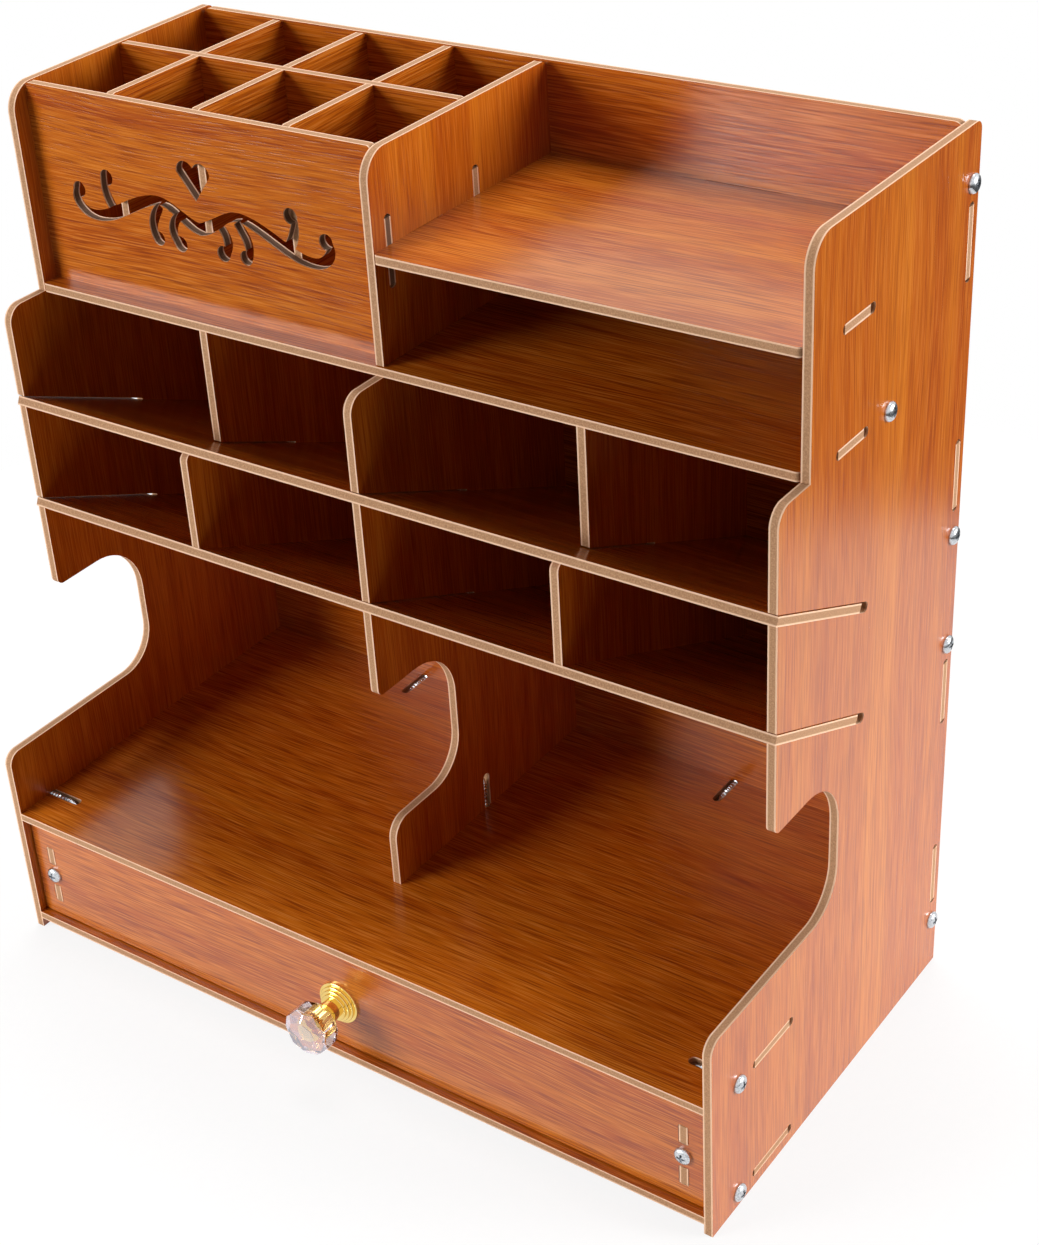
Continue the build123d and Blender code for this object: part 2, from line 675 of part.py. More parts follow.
cross_x = [pen_left + k * (PEN_CELL + BOARD) - BOARD / 2 for k in range(1, PEN_CELLS)]
pen_box_long_divider = pen_board(PEN_LONG_Y)
for x in cross_x:
    gap = (x - BOARD / 2 - play, x + BOARD / 2 + play)
    long_y = (PEN_LONG_Y - PAST, PEN_LONG_Y + BOARD + PAST)
    pen_box_long_divider -= box(gap, long_y, (pen_floor - PAST, pen_half_z))


def cross_divider(x):
    corners = (
        (PEN_FRONT_Y + BOARD, pen_floor, 0),
        (PEN_FRONT_Y + BOARD, HEIGHT, PEN_CORNER_R),
        (BACK_Y, HEIGHT, PEN_CORNER_R),
        (BACK_Y, pen_floor, 0),
    )
    divider = side_board(outline(corners), x - BOARD / 2)
    lap_y = (PEN_LONG_Y - play, PEN_LONG_Y + BOARD + play)
    divider -= box((x - BOARD, x + BOARD), lap_y, (pen_half_z, HEIGHT + PAST))
    return divider


cross_dividers = [cross_divider(x) for x in cross_x]

# Back panel
back_corners = (
    (-INSIDE, BOTTOM_Z, 0),
    (INSIDE, BOTTOM_Z, 0),
    (INSIDE, HEIGHT, BACK_CORNER_R),
    (-INSIDE, HEIGHT, BACK_CORNER_R),
)
back_panel = front_board(outline(back_corners), BACK_Y)
back_y = (BACK_Y, BACK_REAR_FACE)
for z in BACK_TAB_Z:
    back_panel += box((-HALF, -INSIDE), back_y, (z, z + BACK_TAB))
    back_panel += box((INSIDE, HALF), back_y, (z, z + BACK_TAB))
for z in BACK_SCREW_Z:
    middle_y = BACK_Y + BOARD / 2
    back_panel -= screw_slot((-INSIDE, middle_y, z), (1, 0, 0), (0, 1, 0))
    back_panel -= screw_slot((INSIDE, middle_y, z), (-1, 0, 0), (0, 1, 0))
for x in rear_tab_x:
    tab_room = around(x - REAR_TAB / 2, REAR_TAB, END_ROOM)
    back_panel -= back_slot(tab_room, around(UPPER_Z, BOARD, play))
back_panel -= back_slot(around(tray_tab_x[0], REAR_TAB, END_ROOM), around(TRAY_Z, BOARD, play))
for z in CENTRE_REAR_TAB_Z:
    back_panel -= back_slot(lap_x, around(z, BACK_TAB, END_ROOM))
for x in rear_tab_x:
    across = around(x - BOARD / 2, BOARD, play)
    back_panel -= back_slot(across, around(row_tab_z, ROW_REAR_TAB, END_ROOM))
rear_screw_places = []
for x in (-REAR_SCREW_X, REAR_SCREW_X):
    for z in (BOTTOM_Z + BOARD / 2, DECK_Z + BOARD / 2):
        rear_screw_places.append((x, BACK_REAR_FACE, z))
for place in rear_screw_places:
    back_panel -= hole(place, (0, -1, 0))

# Drawer
drawer_low = BOTTOM_Z + BOARD + DRAWER_GAP
drawer_high = DECK_Z - DRAWER_GAP
drawer_half = INSIDE - DRAWER_GAP
front_rear_y = DRAWER_FRONT_Y + BOARD
drawer_corners = (
    (-drawer_half, drawer_low, 0),
    (drawer_half, drawer_low, 0),
    (drawer_half, drawer_high, 0),
    (-drawer_half, drawer_high, 0),
)
drawer_front = front_board(outline(drawer_corners), DRAWER_FRONT_Y)
drawer_side_end = BACK_Y - RUN_PLAY
side_middle_x = DRAWER_SIDE_X + BOARD / 2
tab_ranges = []
for sign in (-1, 1):
    near = DRAWER_MIDDLE_Z + sign * DRAWER_TAB_FROM_MIDDLE
    far = near + sign * DRAWER_TAB
    tab_ranges.append((min(near, far), max(near, far)))


def drawer_side(x):
    """Side board of the drawer, from the X of its low face."""
    corners = (
        (front_rear_y, DRAWER_LOW_Z, 0),
        (drawer_side_end, DRAWER_LOW_Z, 0),
        (drawer_side_end, DRAWER_TOP_Z, 0),
        (front_rear_y, DRAWER_TOP_Z, 0),
    )
    board = side_board(outline(corners), x)
    for low, high in tab_ranges:
        board += box((x, x + BOARD), (DRAWER_FRONT_Y, front_rear_y), (low, high))
        board -= side_slot(x, around(DRAWER_BACK_Y, BOARD, play), (low - END_ROOM, high + END_ROOM))
    for y in FLOOR_TAB_Y:
        floor_z = around(DRAWER_FLOOR_Z, BOARD, play)
        board -= side_slot(x, around(y, FLOOR_TAB, END_ROOM), floor_z)
    edge = (x + BOARD / 2, front_rear_y, DRAWER_MIDDLE_Z)
    board -= screw_slot(edge, (0, 1, 0), (1, 0, 0))
    return board


drawer_side_left = drawer_side(-DRAWER_SIDE_X - BOARD)
drawer_side_right = drawer_side(DRAWER_SIDE_X)
for x in (-side_middle_x, side_middle_x):
    slot_x = around(x - BOARD / 2, BOARD, DRAWER_SLOT_PLAY / 2)
    for low, high in tab_ranges:
        slot_z = (low - DRAWER_SLOT_PLAY / 2, high + DRAWER_SLOT_PLAY / 2)
        front_slot = slot(slot_x, slot_z, DRAWER_SLOT_R)
        drawer_front -= extrude(Plane.XZ.offset(PAST - DRAWER_FRONT_Y) * front_slot, -BOARD - 2 * PAST)
    drawer_front -= hole((x, DRAWER_FRONT_Y, DRAWER_MIDDLE_Z), (0, 1, 0))
knob_at = (0, DRAWER_FRONT_Y, DRAWER_MIDDLE_Z)
knob_hole = Pos(0, 0, BOARD / 2) * Cylinder((KNOB_SCREW_D + SCREW_PLAY) / 2, BOARD + 2 * PAST)
drawer_front -= Plane(origin=knob_at, z_dir=(0, 1, 0)) * knob_hole

drawer_outer = DRAWER_SIDE_X + BOARD
drawer_back = box(
    (-DRAWER_SIDE_X, DRAWER_SIDE_X),
    (DRAWER_BACK_Y, DRAWER_BACK_Y + BOARD),
    (DRAWER_FLOOR_Z + BOARD, DRAWER_TOP_Z),
)
drawer_bottom = box(
    (-DRAWER_SIDE_X, DRAWER_SIDE_X),
    (front_rear_y, DRAWER_BACK_Y + BOARD),
    (DRAWER_FLOOR_Z, DRAWER_FLOOR_Z + BOARD),
)
for tab_x in ((-drawer_outer, -DRAWER_SIDE_X), (DRAWER_SIDE_X, drawer_outer)):
    for z in tab_ranges:
        drawer_back += box(tab_x, (DRAWER_BACK_Y, DRAWER_BACK_Y + BOARD), z)
    for y in FLOOR_TAB_Y:
        floor_z = (DRAWER_FLOOR_Z, DRAWER_FLOOR_Z + BOARD)
        drawer_bottom += box(tab_x, (y, y + FLOOR_TAB), floor_z)

# Knob, drawn along its own axis and then turned to face forward
flange_line = [(0, 0)]
flange_out = 0.0
for radius, thick in FLANGE_STEPS:
    flange_line.append((radius, flange_out))
    flange_out += thick
    flange_line.append((radius, flange_out))
flange_line.append((NECK_R, flange_out + FLANGE_FILLET))
flange_line.append((NECK_R, NECK_LENGTH - NECK_END))
flange_line.append((NECK_END_R, NECK_LENGTH))
flange_line.append((0, NECK_LENGTH))
knob_place = Plane(origin=knob_at, x_dir=(1, 0, 0), z_dir=(0, -1, 0))
crystal_end = NECK_LENGTH + CRYSTAL_LENGTH
knob_bore = Cylinder((KNOB_SCREW_D + SCREW_PLAY) / 2, 3 * crystal_end)
knob_flange = revolve(Plane.XZ * make_face(Polyline(*flange_line, close=True)), Axis.Z)
knob_flange = knob_place * (knob_flange - knob_bore)

crystal = Pos(0, 0, NECK_LENGTH + CRYSTAL_LENGTH / 2) * Cylinder(2 * CRYSTAL_R, CRYSTAL_LENGTH)


def facet(turn, tilt, radius, z):
    """Block that leaves a flat facet through a point at the given radius and height."""
    block = Pos(crystal_end, 0, 0) * Box(2 * crystal_end, 3 * crystal_end, 3 * crystal_end)
    return Rot(0, 0, turn) * Pos(radius, 0, z) * Rot(0, -tilt, 0) * block


for k in range(CRYSTAL_SIDES):
    step = 360 / CRYSTAL_SIDES
    crystal -= facet(k * step, 0, CRYSTAL_R, crystal_end)
    crystal -= facet(k * step + step / 2, CRYSTAL_FRONT_TURN, CRYSTAL_TABLE_R, crystal_end)
    crystal -= facet(k * step + step / 2, -CRYSTAL_BACK_TURN, CRYSTAL_BACK_R, NECK_LENGTH)
insert_room = Pos(0, 0, NECK_LENGTH + INSERT_LENGTH / 2) * Cylinder(INSERT_R, INSERT_LENGTH)
knob_crystal = knob_place * (crystal - insert_room)
# The insert is closed at its front, and this end shows through the crystal
blind_length = NECK_LENGTH + INSERT_LENGTH - INSERT_END
insert_bore = Pos(0, 0, blind_length / 2) * Cylinder((KNOB_SCREW_D + SCREW_PLAY) / 2, blind_length)
knob_insert = knob_place * (insert_room - insert_bore)
knob_screw_at = (0, front_rear_y, DRAWER_MIDDLE_Z)
knob_screw = screw(knob_screw_at, (0, -1, 0), KNOB_SCREW_D, KNOB_THREAD + BOARD, KNOB_HEAD_D, KNOB_HEAD_H)

# Screws, in groups of the same kind


def side_fasteners(sign):
    """Screws of one side. The sign is -1 on the left and 1 on the right."""
    places = [(BACK_Y + BOARD / 2, z) for z in BACK_SCREW_Z]
    places.append((UPPER_SCREW_Y, UPPER_Z + BOARD / 2))
    places.append((LOW_SCREW_Y, DECK_Z + BOARD / 2))
    places.append((LOW_SCREW_Y, BOTTOM_Z + BOARD / 2))
    into = (-sign, 0, 0)
    screws = []
    for y, z in places:
        screws.append(screw((sign * HALF, y, z), into, SCREW_D, SCREW_LENGTH, HEAD_D, HEAD_H))
    return Compound(children=screws)


side_screws_left = side_fasteners(-1)
side_screws_right = side_fasteners(1)

back_screw_list = []
for place in rear_screw_places:
    back_screw_list.append(screw(place, (0, -1, 0), SCREW_D, SCREW_LENGTH, HEAD_D, HEAD_H))
back_screws = Compound(children=back_screw_list)

foot_screw = screw((0, FOOT_SCREW_Y, DECK_Z), (0, 0, 1), SCREW_D, SCREW_LENGTH, HEAD_D, HEAD_H)

drawer_screw_list = []
for x in (-side_middle_x, side_middle_x):
    face = (x, DRAWER_FRONT_Y, DRAWER_MIDDLE_Z)
    drawer_screw_list.append(screw(face, (0, 1, 0), SCREW_D, SCREW_LENGTH, HEAD_D, HEAD_H))
drawer_screws = Compound(children=drawer_screw_list)

# Files, one for each node
nodes = {
    "left_side_panel": left_side_panel,
    "right_side_panel": right_side_panel,
    "centre_panel": centre_panel,
    "back_panel": back_panel,
    "bottom_board": bottom_board,
    "deck_board": deck_board,
    "lower_sloping_shelf": lower_sloping_shelf,
    "middle_sloping_shelf": middle_sloping_shelf,
    "upper_long_shelf": upper_long_shelf,
    "tray_board": tray_board,
    "row_divider_left": row_divider_left,
    "row_divider_right": row_divider_right,
    "pen_box_front": pen_box_front,
    "pen_box_long_divider": pen_box_long_divider,
    "pen_box_cross_divider_left": cross_dividers[0],
    "pen_box_cross_divider_middle": cross_dividers[1],
    "pen_box_cross_divider_right": cross_dividers[2],
    "drawer_front": drawer_front,
    "drawer_side_left": drawer_side_left,
    "drawer_side_right": drawer_side_right,
    "drawer_back": drawer_back,
    "drawer_bottom": drawer_bottom,
    "knob_flange": knob_flange,
    "knob_crystal": knob_crystal,
    "knob_insert": knob_insert,
    "knob_screw": knob_screw,
    "side_screws_left": side_screws_left,
    "side_screws_right": side_screws_right,
    "back_screws": back_screws,
    "foot_screw": foot_screw,
    "drawer_screws": drawer_screws,
}
for name, shape in nodes.items():
    export_step(Pos(0, FRONT_Y, 0) * shape, f"parts/{name}.step")
print(len(nodes), "nodes")
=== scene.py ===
import math

import bmesh
import bpy
import numpy as np
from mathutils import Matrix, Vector


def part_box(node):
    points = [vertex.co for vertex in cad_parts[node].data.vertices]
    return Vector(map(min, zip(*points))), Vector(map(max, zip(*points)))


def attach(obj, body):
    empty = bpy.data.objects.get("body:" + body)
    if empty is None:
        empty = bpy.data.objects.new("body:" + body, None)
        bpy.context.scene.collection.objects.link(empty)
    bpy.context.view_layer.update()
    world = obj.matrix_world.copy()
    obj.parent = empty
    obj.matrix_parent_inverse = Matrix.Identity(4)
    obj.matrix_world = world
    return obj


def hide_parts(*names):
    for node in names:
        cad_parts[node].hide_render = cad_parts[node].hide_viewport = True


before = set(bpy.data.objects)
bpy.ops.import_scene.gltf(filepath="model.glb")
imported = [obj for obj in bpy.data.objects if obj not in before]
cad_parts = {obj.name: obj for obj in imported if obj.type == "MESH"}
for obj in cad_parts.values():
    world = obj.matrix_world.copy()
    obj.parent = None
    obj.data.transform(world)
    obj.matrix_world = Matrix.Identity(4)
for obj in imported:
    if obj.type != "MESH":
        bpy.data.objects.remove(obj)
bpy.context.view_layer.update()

# Sizes of the boards, in metres, and the slope of the two sloping shelves
MM = 0.001
PER_METRE = 1000.0
BOARD = 3.0 * MM
SLOPE = math.radians(24.0)
ARRIS = 0.42 * MM

# Edges of the boards. A surface is a board's face where the cosine of its turn from the direction through
# the board is above FACE_FACING. FIBRE_SIZE and ORNAMENT_TOP are in millimetres
FACE_FACING = 0.7
FIBRE_SIZE = 0.5
ORNAMENT_TOP = 290.0
SCORCH = 0.8
ARRIS_SHARE = 0.85
EDGE_ROUGHNESS = 0.88

# Laminate. The grain of upright boards shows less strongly
UPRIGHT_CONTRAST = 0.6
LAMINATE_IOR = 1.62
SEED_STEP = 7.3

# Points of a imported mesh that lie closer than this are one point
SAME_POINT = 0.001 * MM

# Pan head self-tapping screws, 3 mm by 15 mm
HEAD_R = 3.0 * MM
HEAD_HIGH = 1.8 * MM
HEAD_RIM = 0.5 * MM
RECESS_LONG = 3.0 * MM
RECESS_WIDE = 0.75 * MM
RECESS_DEEP = 1.0 * MM
THREAD_ROOT = 1.05 * MM
THREAD_PROUD = 0.38 * MM
THREAD_PITCH = 1.35 * MM
SCREW_LENGTH = 15.0 * MM
SCREW_TIP = 2.4 * MM
TIP_R = 0.15 * MM

# Turned flange of the knob, in millimetres: radius and thickness of each step from the drawer outwards,
# then the neck
FLANGE_STEPS = ((7.8, 1.0), (6.8, 0.9), (5.9, 0.9), (4.9, 0.8))
NECK_R = 3.6
NECK_END_R = 4.4
STEP_ROUND = 0.32
STEP_POINTS = 6
NECK_POINTS = 12
POLISH = 0.16 * MM

# The photograph's camera, in the frame of the side panels' front edge
PHOTO_WIDE = 1039
PHOTO_HIGH = 1245
FOCAL_PIXELS = 2235.764
CENTRE_ACROSS = 436.638
CENTRE_DOWN = 617.863
CAMERA_AT = (384.85 * MM, -412.87 * MM, 514.29 * MM)
CAMERA_TURN = (58.5566, 4.0111, 36.0692)
SENSOR_WIDE = 36
NEAREST = 0.02
FARTHEST = 30

X = Vector((1, 0, 0))
Y = Vector((0, 1, 0))
Z = Vector((0, 0, 1))
SLOPE_UP = Vector((0, math.sin(SLOPE), math.cos(SLOPE)))


def linear(code, alpha=1.0):
    """sRGB hex code as the linear colour that a shader takes."""
    parts = [int(code[i : i + 2], 16) / 255 for i in (1, 3, 5)]
    return (*(p / 12.92 if p <= 0.04045 else ((p + 0.055) / 1.055) ** 2.4 for p in parts), alpha)


def add_node(tree, kind, settings=None, inputs=None):
    """Adds a node. An input is given a value, the socket it is linked from, or a list of such sockets."""
    made = tree.nodes.new(kind)
    for name, value in (settings or {}).items():
        setattr(made, name, value)
    for key, value in (inputs or {}).items():
        if isinstance(value, bpy.types.NodeSocket):
            tree.links.new(value, made.inputs[key])
        elif isinstance(value, list):
            for socket in value:
                tree.links.new(socket, made.inputs[key])
        else:
            made.inputs[key].default_value = value
    return made


def math_of(tree, operation, *values):
    """Result of a Math node."""
    made = add_node(tree, "ShaderNodeMath", {"operation": operation}, dict(enumerate(values)))
    return made.outputs[0]


def vector_of(tree, operation, *values):
    """Result of a Vector Math node, a number for a dot product and a vector otherwise."""
    made = add_node(tree, "ShaderNodeVectorMath", {"operation": operation}, dict(enumerate(values)))
    return made.outputs["Value" if operation == "DOT_PRODUCT" else "Vector"]


def ramp_of(tree, factor, stops):
    """Colour ramp through (place, hex code) stops."""
    made = add_node(tree, "ShaderNodeValToRGB", None, {"Fac": factor})
    elements = made.color_ramp.elements
    while len(elements) < len(stops):
        elements.new(0.5)
    for element, (place, code) in zip(elements, stops):
        element.position = place
        element.color = linear(code)
    return made.outputs["Color"]


def step_of(tree, value, low, high):
    """Goes smoothly from 0 at low to 1 at high."""
    settings = {"interpolation_type": "SMOOTHSTEP"}
    inputs = {"Value": value, "From Min": low, "From Max": high}
    return add_node(tree, "ShaderNodeMapRange", settings, inputs).outputs["Result"]


def mix_of(tree, factor, first, second, blend="MIX"):
    """Colour between two colours."""
    settings = {"data_type": "RGBA", "blend_type": blend}
    made = add_node(tree, "ShaderNodeMix", settings, {0: factor, 6: first, 7: second})
    return made.outputs[2]


def noise_of(tree, vector, detail, roughness):
    """Noise at a vector whose unit is the size of its clouds."""
    inputs = {"Vector": vector, "Scale": 1.0, "Detail": detail, "Roughness": roughness}
    return add_node(tree, "ShaderNodeTexNoise", None, inputs).outputs["Fac"]


def laminate_tree():
    """Wood-print laminate on both faces of a fibreboard, and the bare fibreboard on its edges.

    Across is the direction through the board, Along the direction of the grain, Middle the board's
    middle across, in millimetres, Seed makes each board's print its own, and Contrast sets how strongly
    its lines show. The board's edges below the height Scorched, in millimetres, are browned by the laser."""
    tree = bpy.data.node_groups.new("laminated_fibreboard", "ShaderNodeTree")
    for name in ("Across", "Along"):
        tree.interface.new_socket(name, in_out="INPUT", socket_type="NodeSocketVector")
    for name in ("Middle", "Seed", "Contrast", "Scorched"):
        tree.interface.new_socket(name, in_out="INPUT", socket_type="NodeSocketFloat")
    for name, kind in (("Colour", "Color"), ("Roughness", "Float"), ("Normal", "Vector")):
        tree.interface.new_socket(name, in_out="OUTPUT", socket_type="NodeSocket" + kind)
    given = tree.nodes.new("NodeGroupInput").outputs
    place = tree.nodes.new("ShaderNodeTexCoord").outputs
    scale_inputs = {0: place["Object"], "Scale": PER_METRE}
    at = add_node(tree, "ShaderNodeVectorMath", {"operation": "SCALE"}, scale_inputs).outputs["Vector"]
    side = vector_of(tree, "CROSS_PRODUCT", given["Across"], given["Along"])
    u = vector_of(tree, "DOT_PRODUCT", at, given["Along"])
    v = vector_of(tree, "DOT_PRODUCT", at, side)
    w = vector_of(tree, "DOT_PRODUCT", at, given["Across"])
    layer = math_of(tree, "MULTIPLY_ADD", w, 1.7, given["Seed"])

    def grain(u_per_mm, v_per_mm, across, detail, roughness):
        """Noise drawn out along the grain. The two rates are the inverse of its length and width in mm."""
        long = math_of(tree, "MULTIPLY", u, u_per_mm)
        wide = math_of(tree, "MULTIPLY", across, v_per_mm)
        vector = add_node(tree, "ShaderNodeCombineXYZ", None, {0: long, 1: wide, 2: layer})
        return noise_of(tree, vector.outputs[0], detail, roughness)

    # The print runs nearly straight and wanders sideways by only a few millimetres
    wander = grain(1 / 150, 1 / 60, v, 1.0, 0.5)
    bent = math_of(tree, "MULTIPLY_ADD", wander, 9.0, v)
    bands = grain(1 / 700, 1 / 11, bent, 2.0, 0.5)
    lines = grain(1 / 180, 1 / 0.8, bent, 1.0, 0.5)
    pores = grain(1 / 15, 1 / 0.45, bent, 0.0, 0.5)
    tones = ((0.30, "#a54b0a"), (0.44, "#ad550c"), (0.57, "#b65f10"), (0.70, "#bf6a15"))
    wood = ramp_of(tree, bands, tones)
    line_dark = step_of(tree, lines, 0.50, 0.30)
    pore_dark = step_of(tree, pores, 0.46, 0.30)
    pore_light = step_of(tree, pores, 0.54, 0.70)
    marks = (
        (line_dark, 0.40, "#742604"),
        (pore_dark, 0.50, "#6c2204"),
        (pore_light, 0.40, "#d68434"),
    )
    for mark, strength, code in marks:
        share = math_of(tree, "MULTIPLY", math_of(tree, "MULTIPLY", mark, strength), given["Contrast"])
        wood = mix_of(tree, share, wood, linear(code))

    # Pressed fibres, drawn at half a millimetre so that they show
    fine = add_node(tree, "ShaderNodeVectorMath", {"operation": "SCALE"}, {0: at, "Scale": 1 / FIBRE_SIZE})
    speckle = noise_of(tree, fine.outputs["Vector"], 2.0, 0.6)
    fibre = ramp_of(tree, speckle, ((0.34, "#956c48"), (0.50, "#a37854"), (0.66, "#b28660")))
    low = math_of(tree, "LESS_THAN", vector_of(tree, "DOT_PRODUCT", at, Z), given["Scorched"])
    fibre = mix_of(tree, math_of(tree, "MULTIPLY", low, SCORCH), fibre, linear("#40230f"))

    # The cut film shows as a pale line along both borders of the edge
    from_middle = math_of(tree, "ABSOLUTE", math_of(tree, "SUBTRACT", w, given["Middle"]))
    half = BOARD / MM / 2
    arris = step_of(tree, from_middle, half - 1.5 * ARRIS / MM, half - 0.9 * ARRIS / MM)
    film = math_of(tree, "MULTIPLY", arris, ARRIS_SHARE)
    edge_colour = mix_of(tree, film, fibre, linear("#e6bf9e"))
    facing = math_of(tree, "ABSOLUTE", vector_of(tree, "DOT_PRODUCT", place["Normal"], given["Across"]))
    is_face = math_of(tree, "GREATER_THAN", facing, FACE_FACING)
    colour = mix_of(tree, is_face, edge_colour, wood)

    satin = math_of(tree, "MULTIPLY_ADD", lines, -0.08, 0.24)
    rough_inputs = {0: is_face, 2: EDGE_ROUGHNESS, 3: satin}
    rough = add_node(tree, "ShaderNodeMix", {"data_type": "FLOAT"}, rough_inputs)
    relief = math_of(tree, "MULTIPLY_ADD", pore_dark, -0.8, math_of(tree, "MULTIPLY", lines, 0.5))
    height = add_node(tree, "ShaderNodeMix", {"data_type": "FLOAT"}, {0: is_face, 2: speckle, 3: relief})
    bump_inputs = {"Strength": 0.45, "Distance": 0.04 * MM, "Height": height.outputs[0]}
    bump = add_node(tree, "ShaderNodeBump", None, bump_inputs)
    results = {"Colour": colour, "Roughness": rough.outputs[0], "Normal": bump.outputs["Normal"]}
    add_node(tree, "NodeGroupOutput", None, results)
    return tree


laminate = laminate_tree()


def new_material(name):
    """Material with its node tree and its shader."""
    made = bpy.data.materials.new(name)
    made.use_nodes = True
    tree = made.node_tree
    return made, tree, tree.nodes["Principled BSDF"]


def board_material(node_name, across, along, seed, contrast, scorched):
    """Satin wood-print laminate on fibreboard: an even sheen, streaked along the grain."""
    body = np.array([v.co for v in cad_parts[node_name].data.vertices])
    reach = body @ np.array(across)
    middle = (reach.min() + reach.max()) / 2 / MM
    made, tree, shader = new_material("laminated_" + node_name)
    inputs = {
        "Across": across, "Along": along, "Middle": middle,
        "Seed": seed, "Contrast": contrast, "Scorched": scorched,
    }
    print_of = add_node(tree, "ShaderNodeGroup", {"node_tree": laminate}, inputs)
    tree.links.new(print_of.outputs["Colour"], shader.inputs["Base Color"])
    tree.links.new(print_of.outputs["Roughness"], shader.inputs["Roughness"])
    tree.links.new(print_of.outputs["Normal"], shader.inputs["Normal"])
    shader.inputs["IOR"].default_value = LAMINATE_IOR
    return made


# Through each board, and along its grain
BOARDS = {
    "left_side_panel": (X, Z),
    "right_side_panel": (X, Z),
    "centre_panel": (X, Z),
    "row_divider_left": (X, Z),
    "row_divider_right": (X, Z),
    "pen_box_cross_divider_left": (X, Y),
    "pen_box_cross_divider_middle": (X, Y),
    "pen_box_cross_divider_right": (X, Y),
    "drawer_side_left": (X, Y),
    "drawer_side_right": (X, Y),
    "back_panel": (Y, X),
    "pen_box_front": (Y, X),
    "pen_box_long_divider": (Y, X),
    "drawer_front": (Y, X),
    "drawer_back": (Y, X),
    "bottom_board": (Z, X),
    "deck_board": (Z, X),
    "upper_long_shelf": (Z, X),
    "tray_board": (Z, X),
    "drawer_bottom": (Z, X),
    "lower_sloping_shelf": (SLOPE_UP, X),
    "middle_sloping_shelf": (SLOPE_UP, X),
}


def zinc_material():
    """Bright zinc plating on steel: a pale, slightly blue metal with faint marks from rolling."""
    made, tree, shader = new_material("zinc_plated_steel")
    place = tree.nodes.new("ShaderNodeTexCoord").outputs["Object"]
    fine = add_node(tree, "ShaderNodeTexNoise", None, {"Vector": place, "Scale": 2400.0, "Detail": 3.0})
    colour = ramp_of(tree, fine.outputs["Fac"], ((0.35, "#b9bcc0"), (0.65, "#dfe2e6")))
    tree.links.new(colour, shader.inputs["Base Color"])
    rough = math_of(tree, "MULTIPLY_ADD", fine.outputs["Fac"], 0.16, 0.16)
    tree.links.new(rough, shader.inputs["Roughness"])
    shader.inputs["Metallic"].default_value = 1.0
    return made


def gold_material():
    """Polished gold plating: a pale warm metal, mirror smooth."""
    made, tree, shader = new_material("gold_plating")
    place = tree.nodes.new("ShaderNodeTexCoord").outputs["Object"]
    cloud = add_node(tree, "ShaderNodeTexNoise", None, {"Vector": place, "Scale": 150.0, "Detail": 1.0})
    colour = ramp_of(tree, cloud.outputs["Fac"], ((0.3, "#ecc972"), (0.7, "#f3d584")))
    tree.links.new(colour, shader.inputs["Base Color"])
    rough = math_of(tree, "MULTIPLY_ADD", cloud.outputs["Fac"], 0.04, 0.04)
    tree.links.new(rough, shader.inputs["Roughness"])
    shader.inputs["Metallic"].default_value = 1.0
    return made


def crystal_material():
    """Cut and polished crystal glass: clear, each facet with a strong pale glint of its own."""
    made, tree, shader = new_material("cut_crystal")
    place = tree.nodes.new("ShaderNodeTexCoord").outputs["Object"]
    cloud = add_node(tree, "ShaderNodeTexNoise", None, {"Vector": place, "Scale": 260.0, "Detail": 2.0})
    colour = ramp_of(tree, cloud.outputs["Fac"], ((0.3, "#f6ece8"), (0.7, "#ffffff")))
    tree.links.new(colour, shader.inputs["Base Color"])
    rough = math_of(tree, "MULTIPLY_ADD", cloud.outputs["Fac"], 0.02, 0.0)
    tree.links.new(rough, shader.inputs["Roughness"])
    shader.inputs["Transmission Weight"].default_value = 1.0
    shader.inputs["IOR"].default_value = 1.45

    # Light that the facets throw back from inside, more of it where the eye meets them at a slant
    slant = add_node(tree, "ShaderNodeLayerWeight", None, {"Blend": 0.4}).outputs["Facing"]
    share = math_of(tree, "MULTIPLY_ADD", slant, 0.50, 0.22)
    glint_inputs = {"Color": linear("#f7f2ff"), "Roughness": 0.04}
    glint = add_node(tree, "ShaderNodeBsdfGlossy", None, glint_inputs)
    both_inputs = {0: share, 1: shader.outputs[0], 2: glint.outputs[0]}
    both = add_node(tree, "ShaderNodeMixShader", None, both_inputs)
    tree.links.new(both.outputs[0], tree.nodes["Material Output"].inputs["Surface"])
    return made


zinc = zinc_material()
gold = gold_material()
crystal = crystal_material()


def dress(node_name, material):
    """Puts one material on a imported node."""
    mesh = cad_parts[node_name].data
    mesh.materials.clear()
    mesh.materials.append(material)


for k, (name, (across, along)) in enumerate(BOARDS.items()):
    contrast = UPRIGHT_CONTRAST if along == Z else 1.0
    scorched = ORNAMENT_TOP if name == "pen_box_front" else 0.0
    dress(name, board_material(name, across, along, SEED_STEP * k, contrast, scorched))
dress("knob_insert", gold)
dress("knob_screw", zinc)


